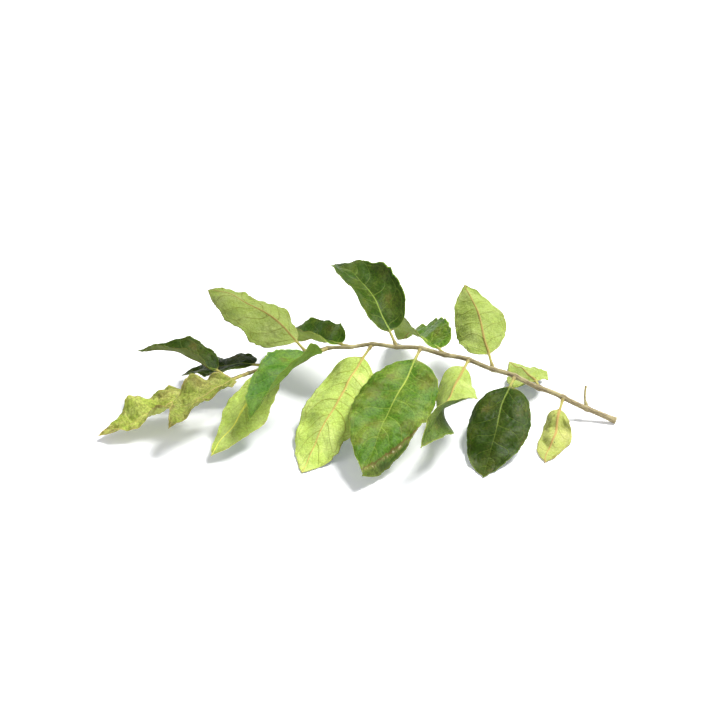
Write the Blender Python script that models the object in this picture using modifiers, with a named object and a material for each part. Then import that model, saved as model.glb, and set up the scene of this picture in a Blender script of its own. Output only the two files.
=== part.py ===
"""A curry leaf sprig, cut and wilted, lying on a surface.

One leaf stalk, the rachis, carries leaflets in turn along both sides and one at its end.
Every leaflet is one grid of points laid along its bent midrib and given a thickness.
Metres, +Z up. The origin is under the middle of the sprig, on the surface it lies on.
"""

import math

import bmesh
import bpy
import numpy as np
from mathutils import Euler, Vector

MM = 0.001

# The rachis, from its cut end to the end leaflet: a low arch that also bows to one side.
RACHIS_START_X = 94.15 * MM
RACHIS_SPAN_X = 148 * MM
RACHIS_START_Y = -8.26 * MM
RACHIS_BOW = 14 * MM
RACHIS_RISE = 24 * MM
RACHIS_CUT_RADIUS = 1.3 * MM
RACHIS_BASE_RADIUS = 1.0 * MM
RACHIS_TIP_RADIUS = 0.55 * MM
CUT_LENGTH = 9 * MM  # the length over which the stalk widens towards its cut end
ZIGZAG = 0.6 * MM  # the rachis turns a little at each leaflet
NODE_SPACING = 8.5 * MM
RACHIS_POINTS = 70
ROUND_RESOLUTION = 2

# The outline that all the blades share, in shares of their own length and width.
WIDEST_AT = 0.42
BASE_FULLNESS = 0.62
TIP_FULLNESS = 0.95
OBLIQUE = 0.1  # the half nearer the cut end starts fuller
TIP_HALF_WIDTH = 0.35 * MM
STALK_LENGTH = 5.0 * MM
STALK_HALF_WIDTH = 0.5 * MM
RIB_THICKNESS = 1.0 * MM
BLADE_THICKNESS = 0.45 * MM
RIB_SHARE = 0.2  # the midrib's half width, as a share of the blade's
ROWS = 20
STALK_ROWS = 2
COLUMNS = 6

# One leaflet has dropped off and left its own short stalk behind.
BARE_STALK_LENGTH = 6.5 * MM
BARE_STALK_RADIUS = 0.5 * MM
BARE_STALK_HOOK = 1.8 * MM
BARE_STALK_POINTS = 9

JOINT_GAP = 0.3 * MM  # between a leaflet's stalk and the rachis
FLOOR_CLEARANCE = 0.55 * MM  # how low the middle of a blade's thickness may lie
FLOOR_SOFTNESS = 1.5 * MM  # the height over which a blade levels out on the surface

LEFT = 1
RIGHT = -1
END = 0

DARK_GREEN = (0.07, 0.13, 0.03)
MID_GREEN = (0.17, 0.31, 0.05)
PALE_GREEN = (0.42, 0.52, 0.12)
YELLOW_GREEN = (0.45, 0.48, 0.12)
STALK_BROWN = (0.36, 0.33, 0.13)


def leaflet(name, at, side, colour, **shape):
    """What one leaflet is like. Lengths are in millimetres and angles in degrees.

    at: its place along the rachis, as a share. lean: its angle to the rachis, seen from above.
    rise: how steeply it leaves the rachis. roll: its turn about its midrib, 180 with its underside up.
    curl, tip_curl, sweep, twist: the midrib's bend up, its tip's, its bend to the left, its turn.
    fold and cup: how far the left and right half lean up from the midrib, and then curve up.
    wave and waves: the margin's ripple and how many there are. crinkle: how deeply it has dried.
    notch: a gap in the left (1) or right (-1) margin, with its place, depth and spread as shares.
    """
    leaf = dict(
        name=name,
        at=at,
        side=side,
        colour=colour,
        roll=0,
        curl=-15,
        tip_curl=0,
        sweep=0,
        twist=0,
        fold=(12, 12),
        cup=(10, 10),
        wave=0.8,
        waves=2.4,
        crinkle=0.5,
        notch=(1, 0.5, 0.0, 0.1),
        phase=7.3 * at,
    )
    leaf.update(shape)
    for measure in ("length", "width", "wave", "crinkle"):
        leaf[measure] *= MM
    return leaf


LEAFLETS = (
    leaflet(
        "left_leaflet_1", 0.13, LEFT, YELLOW_GREEN, length=34, width=16, lean=92, rise=-14, roll=180,
        curl=24, cup=(70, 50), crinkle=1.2, wave=1.6, waves=3.1,
    ),
    leaflet(
        "right_leaflet_1", 0.19, RIGHT, PALE_GREEN, length=37, width=18, lean=80, rise=-10, roll=175,
        curl=22, tip_curl=-20, sweep=-15, cup=(20, 25),
    ),
    leaflet(
        "left_leaflet_2", 0.25, LEFT, DARK_GREEN, length=48, width=24, lean=84, rise=-8,
        curl=-28, sweep=10, fold=(6, 6), cup=(-35, -45),
    ),
    leaflet(
        "right_leaflet_2", 0.305, RIGHT, PALE_GREEN, length=46, width=22, lean=74, rise=30, roll=170,
        curl=38, cup=(25, 30), wave=1.2,
    ),
    leaflet(
        "left_leaflet_3", 0.365, LEFT, PALE_GREEN, length=56, width=23, lean=84, rise=2, roll=160,
        curl=8, twist=150, fold=(30, 30), cup=(20, 20),
    ),
    leaflet(
        "right_leaflet_3", 0.425, RIGHT, MID_GREEN, length=52, width=23, lean=70, rise=-8,
        curl=-36, fold=(25, 20), cup=(60, 25),
    ),
    leaflet(
        "left_leaflet_4", 0.485, LEFT, MID_GREEN, length=61, width=28, lean=74, rise=-12, roll=-6,
        curl=-8, fold=(4, 4), cup=(-18, -14), wave=1.0,
    ),
    leaflet(
        "right_leaflet_4", 0.545, RIGHT, DARK_GREEN, length=51, width=25, lean=62, rise=38,
        curl=-56, fold=(20, 20), cup=(35, 35),
    ),
    leaflet(
        "left_leaflet_5", 0.605, LEFT, PALE_GREEN, length=58, width=28, lean=52, rise=-24, roll=180,
        curl=12, sweep=-10, fold=(6, 6), cup=(24, 18), wave=1.4, waves=2.0, notch=(-1, 0.62, 0.22, 0.07),
    ),
    leaflet(
        "right_leaflet_5", 0.66, RIGHT, MID_GREEN, length=52, width=19, lean=58, rise=-14,
        curl=-20, sweep=10, fold=(35, 30), cup=(10, 10),
    ),
    leaflet(
        "left_leaflet_6", 0.715, LEFT, MID_GREEN, length=46, width=22, lean=46, rise=8, roll=20,
        curl=-35, fold=(38, 34), cup=(10, 25),
    ),
    leaflet(
        "right_leaflet_6", 0.765, RIGHT, PALE_GREEN, length=49, width=25, lean=50, rise=36, roll=180,
        curl=50, cup=(20, 25), wave=1.4, notch=(1, 0.6, 0.4, 0.09),
    ),
    leaflet(
        "left_leaflet_7", 0.815, LEFT, PALE_GREEN, length=46, width=19, lean=50, rise=-20, roll=180,
        curl=6, sweep=-8, fold=(6, 6), cup=(14, 10),
    ),
    leaflet(
        "right_leaflet_7", 0.865, RIGHT, DARK_GREEN, length=43, width=19, lean=54, rise=-14,
        curl=-22, cup=(-20, -25),
    ),
    leaflet(
        "left_leaflet_8", 0.91, LEFT, YELLOW_GREEN, length=38, width=16, lean=38, rise=2,
        curl=-20, sweep=14, fold=(16, 16), cup=(45, 30), crinkle=1.1, wave=1.8, waves=3.2,
    ),
    leaflet(
        "right_leaflet_8", 0.955, RIGHT, DARK_GREEN, length=37, width=17, lean=40, rise=28, roll=15,
        curl=-44, fold=(30, 20), cup=(20, 20),
    ),
    leaflet(
        "terminal_leaflet", 1.0, END, YELLOW_GREEN, length=44, width=18, lean=-6, rise=-10,
        curl=-10, tip_curl=15, fold=(18, 20), cup=(35, 30), crinkle=1.2, wave=1.8, waves=3.0,
    ),
)
BARE_STALK = dict(name="bare_leaflet_stalk", at=0.072, side=RIGHT, lean=68, rise=34, roll=0)


def rachis_point(share):
    """The rachis's centre line, with share 0 at the cut end and 1 at the end leaflet."""
    zigzag = ZIGZAG * math.sin(math.pi * share * RACHIS_SPAN_X / NODE_SPACING)
    x = RACHIS_START_X - RACHIS_SPAN_X * share
    y = RACHIS_START_Y + RACHIS_BOW * math.sin(0.9 * math.pi * share) + zigzag * min(1.0, 5.0 * share)
    z = RACHIS_CUT_RADIUS + RACHIS_RISE * math.sin(0.85 * math.pi * share**1.1)
    return Vector((x, y, z))


def rachis_direction(share):
    step = 0.01
    ahead = rachis_point(min(share + step, 1.0))
    behind = rachis_point(max(share - step, 0.0))
    return (ahead - behind).normalized()


def rachis_radius(share):
    """The taper from base to tip, with the cut end a little wider."""
    taper = RACHIS_BASE_RADIUS + (RACHIS_TIP_RADIUS - RACHIS_BASE_RADIUS) * share
    from_cut = share * RACHIS_SPAN_X / CUT_LENGTH
    return taper + (RACHIS_CUT_RADIUS - RACHIS_BASE_RADIUS) * max(0.0, 1.0 - from_cut) ** 2


def joint(piece):
    """Where a leaflet's own stalk starts, just clear of the rachis, and the way it is turned."""
    forward = rachis_direction(piece["at"])
    heading = math.atan2(forward.y, forward.x) + piece["side"] * math.radians(piece["lean"])
    turn = Euler((math.radians(piece["roll"]), -math.radians(piece["rise"]), heading), "XYZ")
    outward = turn.to_matrix() @ Vector((1.0, 0.0, 0.0))
    distance = JOINT_GAP
    if piece["side"] != END:
        along_rachis = abs(outward.dot(forward))
        clear = rachis_radius(piece["at"]) + JOINT_GAP + STALK_HALF_WIDTH * along_rachis
        distance = clear / math.sqrt(1.0 - along_rachis**2)
    return rachis_point(piece["at"]) + outward * distance, turn


def half_width(blade_share, across, leaf):
    """Half the blade's width: rounded at the base, widest before the middle, drawn out at the tip."""
    share = np.clip(blade_share, 0.0, 1.0)
    fullness = BASE_FULLNESS - OBLIQUE * np.sign(across) * (leaf["side"] or LEFT)
    rise = (share / WIDEST_AT) ** fullness
    fall = ((1.0 - share) / (1.0 - WIDEST_AT)) ** TIP_FULLNESS
    half, at, depth, spread = leaf["notch"]
    bite = np.where(across * half > 0.0, depth, 0.0) * np.exp(-(((share - at) / spread) ** 2))
    return 0.5 * leaf["width"] * rise * fall * (1.0 - bite)


def row_shares(even, length):
    """Turns an even run from 0 to 1 into shares of a leaflet's length, its first rows on its stalk."""
    stalk = STALK_LENGTH / length
    turn = STALK_ROWS / ROWS
    blade = np.clip((even - turn) / (1.0 - turn), 0.0, 1.0)
    eased = 0.5 * blade + 0.25 * (1.0 - np.cos(math.pi * blade))
    return np.where(even < turn, stalk * even / turn, stalk + (1.0 - stalk) * eased)


def midrib(leaf):
    """Shares along the midrib, with the place and the sideways and upward directions at each."""
    shares = np.linspace(0.0, 1.0, 241)
    tip = np.clip((shares - 0.7) / 0.3, 0.0, 1.0) ** 2
    yaw = np.radians(leaf["sweep"]) * shares
    pitch = np.radians(leaf["curl"]) * shares**1.2 + np.radians(leaf["tip_curl"]) * tip
    twist = (np.radians(leaf["twist"]) * shares * shares * (3.0 - 2.0 * shares))[:, None]
    level = np.stack([-np.sin(yaw), np.cos(yaw), np.zeros_like(yaw)], 1)
    forward = np.stack([np.cos(pitch) * np.cos(yaw), np.cos(pitch) * np.sin(yaw), np.sin(pitch)], 1)
    upright = np.cross(forward, level)
    steps = 0.5 * (forward[1:] + forward[:-1]) * leaf["length"] / (len(shares) - 1)
    places = np.vstack([np.zeros(3), np.cumsum(steps, 0)])
    sideways = level * np.cos(twist) + upright * np.sin(twist)
    upward = upright * np.cos(twist) - level * np.sin(twist)
    return shares, places, sideways, upward


def blade_points(leaf, along, across):
    """Points of a leaflet whose midrib leaves the origin along +X, with its upper side up.

    along runs from 0 at the joint to 1 at the tip, and across from -1 to 1 between the margins.
    """
    stalk = STALK_LENGTH / leaf["length"]
    blade = (along - stalk) / (1.0 - stalk)
    least = np.where(blade > 0.5, TIP_HALF_WIDTH, STALK_HALF_WIDTH)
    reach = np.abs(across) * np.maximum(half_width(blade, across, leaf), least)
    outward = reach / (0.5 * leaf["width"])

    # Each half is a circular arc that leaves the midrib at the fold angle and turns by the cup angle.
    on_left = across > 0.0
    fold = np.radians(np.where(on_left, leaf["fold"][0], leaf["fold"][1]))
    turn = np.radians(np.where(on_left, leaf["cup"][0], leaf["cup"][1])) * outward
    chord = reach * np.sinc(0.5 * turn / math.pi)
    lateral = np.sign(across) * chord * np.cos(fold + 0.5 * turn)
    height = chord * np.sin(fold + 0.5 * turn)

    beat = 2.0 * math.pi * (leaf["waves"] * along + leaf["phase"]) + 1.9 * on_left
    height = height + leaf["wave"] * outward**2 * np.sin(beat)
    dents = np.sin(9.0 * along + 1.7 * across + 6.0 * leaf["phase"])
    dents = dents * np.sin(6.5 * along - 2.6 * across + 11.0 * leaf["phase"])
    height = height + leaf["crinkle"] * dents * np.clip(5.0 * blade, 0.0, 1.0)

    shares, places, sideways, upward = midrib(leaf)
    at, side, up = (
        np.stack([np.interp(along, shares, values[:, axis]) for axis in range(3)], 1)
        for values in (places, sideways, upward)
    )
    return at + side * lateral[:, None] + up * height[:, None]


def settled(heights):
    """Heights above the surface, with whatever would sink into it laid out level on it."""
    over = heights - FLOOR_CLEARANCE
    eased = (over + FLOOR_SOFTNESS) ** 2 / (4.0 * FLOOR_SOFTNESS)
    lying = np.where(over < -FLOOR_SOFTNESS, 0.0, eased)
    return FLOOR_CLEARANCE + np.where(over > FLOOR_SOFTNESS, over, lying)


def principled(name, colour, roughness):
    """A material of one colour, for one piece."""
    material = bpy.data.materials.new(name)
    material.use_nodes = True
    shader = material.node_tree.nodes["Principled BSDF"]
    shader.inputs["Base Color"].default_value = (*colour, 1.0)
    shader.inputs["Roughness"].default_value = roughness
    shader.inputs["Metallic"].default_value = 0.0
    material.diffuse_color = (*colour, 1.0)
    return material


def round_stalk(name, points, radii, colour, collection, parent):
    """A round, tapering stalk: a curve with a bevel and filled ends."""
    curve = bpy.data.curves.new(name, "CURVE")
    curve.dimensions = "3D"
    curve.bevel_depth = 1.0 * MM
    curve.bevel_resolution = ROUND_RESOLUTION
    curve.use_fill_caps = True
    spline = curve.splines.new("POLY")
    spline.points.add(len(points) - 1)
    for knot, place, radius in zip(spline.points, points, radii):
        knot.co = (*place, 1.0)
        knot.radius = radius / curve.bevel_depth
    curve.materials.append(principled(name, colour, 0.6))
    stalk = bpy.data.objects.new(name, curve)
    stalk.parent = parent
    collection.objects.link(stalk)
    return stalk


def add_rachis(collection, parent):
    shares = [index / (RACHIS_POINTS - 1) for index in range(RACHIS_POINTS)]
    points = [rachis_point(share) for share in shares]
    radii = [rachis_radius(share) for share in shares]
    round_stalk("rachis", points, radii, STALK_BROWN, collection, parent)


def add_bare_stalk(collection, parent):
    """The hooked stalk that a dropped leaflet left, thickest at its foot and at its scar."""
    points = []
    radii = []
    for index in range(BARE_STALK_POINTS):
        share = index / (BARE_STALK_POINTS - 1)
        hook = BARE_STALK_HOOK * share * share
        points.append(Vector((BARE_STALK_LENGTH * share, -0.6 * hook, hook)))
        radii.append(BARE_STALK_RADIUS * (1.0 - 0.9 * share * (1.0 - share)))
    stalk = round_stalk(BARE_STALK["name"], points, radii, YELLOW_GREEN, collection, parent)
    stalk.location, stalk.rotation_euler = joint(BARE_STALK)


def add_leaflet(leaf, collection, parent):
    """One leaflet: a grid laid along its midrib, then thickened, most along the rib and stalk."""
    start, turn = joint(leaf)
    sheet = bmesh.new()
    bmesh.ops.create_grid(sheet, x_segments=ROWS, y_segments=COLUMNS, size=1.0)
    flat = np.array([vertex.co for vertex in sheet.verts])
    along = row_shares(0.5 * (flat[:, 0] + 1.0), leaf["length"])
    across = flat[:, 1]
    rotation = np.array(turn.to_matrix())
    placed = blade_points(leaf, along, across) @ rotation.T + np.array(start)
    placed[:, 2] = settled(placed[:, 2])
    for vertex, place in zip(sheet.verts, (placed - np.array(start)) @ rotation):
        vertex.co = place
    mesh = bpy.data.meshes.new(leaf["name"])
    sheet.to_mesh(mesh)
    sheet.free()
    mesh.shade_smooth()
    mesh.materials.append(principled(leaf["name"], leaf["colour"], 0.5))

    blade = bpy.data.objects.new(leaf["name"], mesh)
    blade.location = start
    blade.rotation_euler = turn
    blade.parent = parent
    collection.objects.link(blade)

    on_rib = np.maximum(1.0 - np.abs(across) / RIB_SHARE, 0.0) * (1.0 - along**3)
    on_stalk = along <= 1.01 * STALK_LENGTH / leaf["length"]
    thick = blade.vertex_groups.new(name="thick")
    for index, weight in enumerate(np.where(on_stalk, 1.0, on_rib)):
        thick.add([index], float(weight), "REPLACE")
    shell = blade.modifiers.new("Thickness", "SOLIDIFY")
    shell.thickness = RIB_THICKNESS
    shell.offset = 0.0
    shell.vertex_group = thick.name
    shell.thickness_vertex_group = BLADE_THICKNESS / RIB_THICKNESS


def main():
    for old in list(bpy.data.objects):
        bpy.data.objects.remove(old, do_unlink=True)
    collection = bpy.data.collections.new("Curry leaf sprig")
    bpy.context.scene.collection.children.link(collection)
    sprig = bpy.data.objects.new("curry_leaf_sprig", None)
    collection.objects.link(sprig)
    add_rachis(collection, sprig)
    add_bare_stalk(collection, sprig)
    for leaf in LEAFLETS:
        add_leaflet(leaf, collection, sprig)


main()
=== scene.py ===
# %% [markdown]
# # A curry leaf sprig
#
# A curry leaf sprig is one compound leaf. A thin leaf stalk, the rachis, carries small leaflets in
# turn along both sides and one at its end. This one was cut some days ago and has wilted: its
# blades have curled and creased, and many lie with their pale underside up. Each leaflet is a
# closed, very thin skin here, because a single sheet of faces could not have a glossy dark side
# and a dull pale one. The solids that come with the sprig are coarse, so every piece is made
# again on a fine grid, by the same rules, and stands for its solid.

# %% Load the solids and keep their box
import math
from types import SimpleNamespace as Record

import bpy
import numpy as np
from mathutils import Euler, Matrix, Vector


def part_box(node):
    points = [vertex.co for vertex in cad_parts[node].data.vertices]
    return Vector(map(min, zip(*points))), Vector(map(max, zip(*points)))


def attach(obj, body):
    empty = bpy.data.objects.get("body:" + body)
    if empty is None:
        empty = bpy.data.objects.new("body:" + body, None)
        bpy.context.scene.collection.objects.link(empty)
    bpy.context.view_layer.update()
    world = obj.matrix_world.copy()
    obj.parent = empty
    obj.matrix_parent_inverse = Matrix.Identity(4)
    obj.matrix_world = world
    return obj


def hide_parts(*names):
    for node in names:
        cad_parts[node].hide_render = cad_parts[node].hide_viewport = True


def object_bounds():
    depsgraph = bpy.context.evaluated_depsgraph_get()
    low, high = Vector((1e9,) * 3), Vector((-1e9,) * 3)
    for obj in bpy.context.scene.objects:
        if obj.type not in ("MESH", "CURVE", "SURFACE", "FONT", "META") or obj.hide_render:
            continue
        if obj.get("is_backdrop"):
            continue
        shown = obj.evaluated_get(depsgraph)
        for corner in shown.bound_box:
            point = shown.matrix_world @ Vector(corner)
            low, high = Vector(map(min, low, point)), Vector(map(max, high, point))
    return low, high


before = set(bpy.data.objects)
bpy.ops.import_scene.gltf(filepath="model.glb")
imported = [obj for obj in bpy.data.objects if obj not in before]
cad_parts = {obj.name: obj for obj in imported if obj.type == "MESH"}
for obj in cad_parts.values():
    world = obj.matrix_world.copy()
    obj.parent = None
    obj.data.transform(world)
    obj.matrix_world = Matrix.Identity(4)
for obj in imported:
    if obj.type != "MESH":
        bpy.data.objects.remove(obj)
solid_low, solid_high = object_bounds()
box_sides = [round(1000 * side) for side in solid_high - solid_low]
print("solids:", len(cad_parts), "in a box of", box_sides, "mm")

# %% [markdown]
# ## The line of the leaf stalk
#
# The rachis starts at its cut end, on the surface, and rises in a low arch that also bows to one
# side. A Bezier curve drawn by eye could do that, but every leaflet has to find its own node on
# it, so the line is a formula of one share, from 0 at the cut to 1 at the tip. A small zigzag
# turns it about once a node, as on a real sprig.

# %% Measures of the leaf stalk
MM = 0.001
RACHIS_START_X = 94.15 * MM
RACHIS_SPAN_X = 148 * MM
RACHIS_START_Y = -8.26 * MM
RACHIS_BOW = 14 * MM
RACHIS_RISE = 24 * MM
RACHIS_CUT_RADIUS = 1.3 * MM
RACHIS_BASE_RADIUS = 1.0 * MM
RACHIS_TIP_RADIUS = 0.55 * MM
CUT_LENGTH = 9 * MM
ZIGZAG = 0.6 * MM
ZIGZAG_STEP = 8.5 * MM
print("the leaf stalk spans", round(RACHIS_SPAN_X / MM), "mm and turns every", ZIGZAG_STEP / MM, "mm")


# %% The line, its direction and its radius
def rachis_point(share):
    zigzag = ZIGZAG * math.sin(math.pi * share * RACHIS_SPAN_X / ZIGZAG_STEP) * min(1.0, 5.0 * share)
    x = RACHIS_START_X - RACHIS_SPAN_X * share
    y = RACHIS_START_Y + RACHIS_BOW * math.sin(0.9 * math.pi * share) + zigzag
    z = RACHIS_CUT_RADIUS + RACHIS_RISE * math.sin(0.85 * math.pi * share**1.1)
    return Vector((x, y, z))


def rachis_direction(share):
    ahead, behind = rachis_point(min(share + 0.01, 1.0)), rachis_point(max(share - 0.01, 0.0))
    return (ahead - behind).normalized()


def rachis_radius(share):
    taper = RACHIS_BASE_RADIUS + (RACHIS_TIP_RADIUS - RACHIS_BASE_RADIUS) * share
    from_cut = share * RACHIS_SPAN_X / CUT_LENGTH
    return taper + (RACHIS_CUT_RADIUS - RACHIS_BASE_RADIUS) * max(0.0, 1.0 - from_cut) ** 2


highest = max(rachis_point(share).z for share in np.linspace(0.0, 1.0, 100))
print("highest point of the leaf stalk:", round(highest / MM, 1), "mm")


# %% [markdown]
# ## What each leaflet is like
#
# No two leaflets of a wilted sprig are alike, so each has a line of its own: where it sits, how
# long and wide it is, how it leaves the rachis, and how it has bent since. Copies of one leaf with
# random turns would be quicker, but the eye finds the repeat at once.
#
# `length` counts the leaflet's own stalk. `roll=180` shows the underside. `fold` and `cup` say, for
# the left and the right half, how steeply it leans up from the midrib and how far it curves on from
# there. `dry` deepens the wrinkles and browns the margin. `tone` makes it lighter, darker or greener
# than its group; on left_leaflet_5, left_leaflet_7 and right_leaflet_5, which others shade, it is
# raised further, as painted light over that shade. `rib` tints its midrib underneath, `veined` says
# how dark its veins are there, and `shine` how glossy its upper side is. The last line of defaults
# holds marks that few leaflets have.

# %% What a leaflet is unless its line says otherwise
LEFT, RIGHT, END = 1, -1, 0
TAN_RIB = (1.14, 0.66, 0.9)
YELLOW_RIB = (1.75, 1.38, 1.2)
VEIN_SPACING = 8.2


def leaflet(name, at, side, slot, **shape):
    """Lengths are in millimetres, angles in degrees, and places along the blade in shares."""
    leaf = Record(
        name=name, at=at, side=side, slot=slot, phase=7.3 * at, seed=round(1000 * at),
        roll=0, curl=-15, tip_curl=0, sweep=0, twist=0, fold=(12, 12), cup=(10, 10),
        wave=0.8, waves=2.4, crinkle=0.5, dry=0.35, tone=1.0, rib=TAN_RIB, veined=0.5, shine=0.11,
        notch=(1, 0.5, 0.0, 0.1), crease=None, spots=(), stains=(), worn=0.0,
    )
    vars(leaf).update(shape)
    leaf.veins = round(leaf.length / VEIN_SPACING)
    leaf.length, leaf.width = leaf.length * MM, leaf.width * MM
    leaf.wave, leaf.crinkle = leaf.wave * MM, leaf.crinkle * MM
    return leaf


# %% The leaflets
LEAFLETS = (
    leaflet("left_leaflet_1", 0.13, LEFT, "leaf_yellow", length=34, width=16, lean=92, rise=-14,
            roll=180, curl=24, cup=(70, 50), crinkle=1.2, wave=1.6, waves=3.1, dry=0.8, tone=0.9),
    leaflet("right_leaflet_1", 0.19, RIGHT, "leaf_pale", length=37, width=18, lean=80, rise=-10,
            roll=175, curl=22, tip_curl=-20, sweep=-15, cup=(20, 25), tone=0.9),
    leaflet("left_leaflet_2", 0.25, LEFT, "leaf_dark", length=48, width=24, lean=84, rise=-8,
            curl=-28, sweep=10, fold=(6, 6), cup=(-35, -45), dry=0.2, tone=0.78),
    leaflet("right_leaflet_2", 0.305, RIGHT, "leaf_pale", length=46, width=22, lean=74, rise=30,
            roll=170, curl=38, cup=(25, 30), wave=1.2, tone=0.8),
    leaflet("left_leaflet_3", 0.365, LEFT, "leaf_pale", length=56, width=23, lean=84, rise=2,
            roll=160, curl=8, twist=150, fold=(30, 30), cup=(20, 20), dry=0.25, tone=1.02, veined=0.25),
    leaflet("right_leaflet_3", 0.425, RIGHT, "leaf_green", length=52, width=23, lean=70, rise=-8,
            curl=-36, fold=(25, 20), cup=(60, 25)),
    leaflet("left_leaflet_4", 0.485, LEFT, "leaf_green", length=61, width=28, lean=74, rise=-12,
            roll=-6, curl=-8, fold=(4, 4), cup=(-18, -14), wave=1.0, tone=0.95, worn=7.0,
            crease=(0.58, 0.93, 0.42),
            stains=((9.0, 7.0, 5.0), (20.0, -9.0, 5.0), (31.0, 9.0, 4.0), (34.0, -3.0, 3.0))),
    leaflet("right_leaflet_4", 0.545, RIGHT, "leaf_dark", length=51, width=25, lean=62, rise=38,
            curl=-56, fold=(20, 20), cup=(35, 35), dry=0.15, tone=1.08),
    # Lighter than its group: painted light over the shade that left_leaflet_4 casts on it.
    leaflet("left_leaflet_5", 0.605, LEFT, "leaf_pale", length=58, width=28, lean=52, rise=-24,
            roll=180, curl=12, sweep=-10, fold=(6, 6), cup=(24, 18), wave=1.4, waves=2.0, dry=0.25,
            tone=1.37, veined=0.75, notch=(-1, 0.62, 0.22, 0.07), spots=((13.0, -8.5, 0.8),)),
    # Lighter than its group: painted light over the shade it lies in.
    leaflet("right_leaflet_5", 0.66, RIGHT, "leaf_green", length=52, width=19, lean=58, rise=-14,
            curl=-20, sweep=10, fold=(35, 30), tone=1.2, stains=((14.0, 5.0, 4.0), (30.0, -4.0, 4.0))),
    leaflet("left_leaflet_6", 0.715, LEFT, "leaf_green", length=46, width=22, lean=46, rise=8,
            roll=20, curl=-35, fold=(38, 34), cup=(10, 25), dry=0.1, tone=(0.72, 0.9, 0.7), shine=0.15),
    leaflet("right_leaflet_6", 0.765, RIGHT, "leaf_pale", length=49, width=25, lean=50, rise=36,
            roll=180, curl=50, cup=(20, 25), wave=1.4, notch=(1, 0.6, 0.4, 0.09), tone=0.63, veined=0.7),
    # Lighter than its group: painted light over the shade that left_leaflet_6 casts on it.
    leaflet("left_leaflet_7", 0.815, LEFT, "leaf_pale", length=46, width=19, lean=50, rise=-20,
            roll=180, curl=6, sweep=-8, fold=(6, 6), cup=(14, 10), tone=1.45, rib=YELLOW_RIB, veined=0.2),
    leaflet("right_leaflet_7", 0.865, RIGHT, "leaf_dark", length=43, width=19, lean=54, rise=-14,
            curl=-22, cup=(-20, -25), dry=0.3, tone=0.85, shine=0.04),
    leaflet("left_leaflet_8", 0.91, LEFT, "leaf_yellow", length=38, width=16, lean=38, rise=2,
            curl=-20, sweep=14, fold=(16, 16), cup=(45, 30), crinkle=1.1, wave=1.8, waves=3.2,
            dry=0.9, tone=0.74),
    leaflet("right_leaflet_8", 0.955, RIGHT, "leaf_dark", length=37, width=17, lean=40, rise=28,
            roll=15, curl=-44, fold=(30, 20), cup=(20, 20), dry=0.2, tone=0.7, shine=0.07),
    leaflet("terminal_leaflet", 1.0, END, "leaf_yellow", length=44, width=18, lean=-6, rise=-10,
            curl=-10, tip_curl=15, fold=(18, 20), cup=(35, 30), crinkle=1.2, wave=1.8, waves=3.0,
            dry=0.9, tone=1.07),
)
BARE_STALK = Record(at=0.072, side=RIGHT, lean=68, rise=34, roll=0)
lengths = sorted(round(leaf.length / MM) for leaf in LEAFLETS)
print("leaflets:", len(lengths), "from", lengths[0], "to", lengths[-1], "mm long")


# %% [markdown]
# ## Where a leaflet joins
#
# A leaflet could be modelled in place, but it is simpler to shape it with its stalk starting at the
# origin and pointing along +X, and then to turn and carry it to its node. The turn follows the
# rachis, so a change to its bow takes the leaflets with it.

# %% The joint
JOINT_GAP = 0.3 * MM
STALK_HALF_WIDTH = 0.5 * MM


def joint(piece):
    """Where a leaflet's own stalk starts, its turn, and its distance from the rachis's middle."""
    forward = rachis_direction(piece.at)
    heading = math.atan2(forward.y, forward.x) + piece.side * math.radians(piece.lean)
    turn = Euler((math.radians(piece.roll), -math.radians(piece.rise), heading), "XYZ")
    outward = turn.to_matrix() @ Vector((1.0, 0.0, 0.0))
    distance = JOINT_GAP
    if piece.side != END:
        along_rachis = abs(outward.dot(forward))
        clear = rachis_radius(piece.at) + JOINT_GAP + STALK_HALF_WIDTH * along_rachis
        distance = clear / math.sqrt(1.0 - along_rachis**2)
    return rachis_point(piece.at) + outward * distance, turn, distance


for leaf in LEAFLETS[:2]:
    print(leaf.name, "starts at", [round(1000 * part, 1) for part in joint(leaf)[0]], "mm")


# %% [markdown]
# ## One way to skin every piece
#
# A stalk is a tube, and a leaflet is a tube pressed flat: it starts round at its joint, opens out
# into a blade and closes at its tip. So one helper skins them all: it joins rings of points with
# quads, and closes each end with a face. Solidify on a sheet would be shorter, but it would give a
# square stalk and no raised midrib. What a finish has to know about each point, such as its
# distance from the margin, is kept in the mesh under a name.

# %% The skin
def put_in_scene(name, data):
    made = bpy.data.objects.new(name, data)
    bpy.context.scene.collection.objects.link(made)
    return made


def skin(name, rings, notes, finishes, finish_of_column=None):
    """rings: (rows, points, 3). notes: what the finish needs to know at each point, by name."""
    rows, points = rings.shape[:2]
    here = np.arange(rows * points).reshape(rows, points)
    beside = np.roll(here, -1, axis=1)
    quads = np.stack([here[:-1], beside[:-1], beside[1:], here[1:]], -1).reshape(-1, 4)
    faces = [*quads.tolist(), here[0, ::-1].tolist(), here[-1].tolist()]
    mesh = bpy.data.meshes.new(name)
    mesh.from_pydata(rings.reshape(-1, 3).tolist(), [], faces)
    for note, values in notes.items():
        mesh.attributes.new(note, "FLOAT_VECTOR", "POINT").data.foreach_set(
            "vector", values.reshape(-1).astype(np.float32)
        )
    for finish in finishes:
        mesh.materials.append(finish)
    if finish_of_column is not None:
        picked = np.concatenate([np.tile(finish_of_column, rows - 1), [0, 0]])
        mesh.polygons.foreach_set("material_index", picked.astype(np.int32))
    mesh.shade_smooth()
    return put_in_scene(name, mesh)


# %% [markdown]
# ## The outline of a blade
#
# The blade is rounded at its base, widest a little before the middle and drawn out to its tip, and
# its margin has low, rounded teeth. The half nearer the cut end starts fuller, which makes a curry
# leaflet look lopsided. A drawn outline would fit one leaflet only, so two powers multiplied draw
# them all, and a wave with uneven steps cuts the teeth, no two of them the same.

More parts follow.
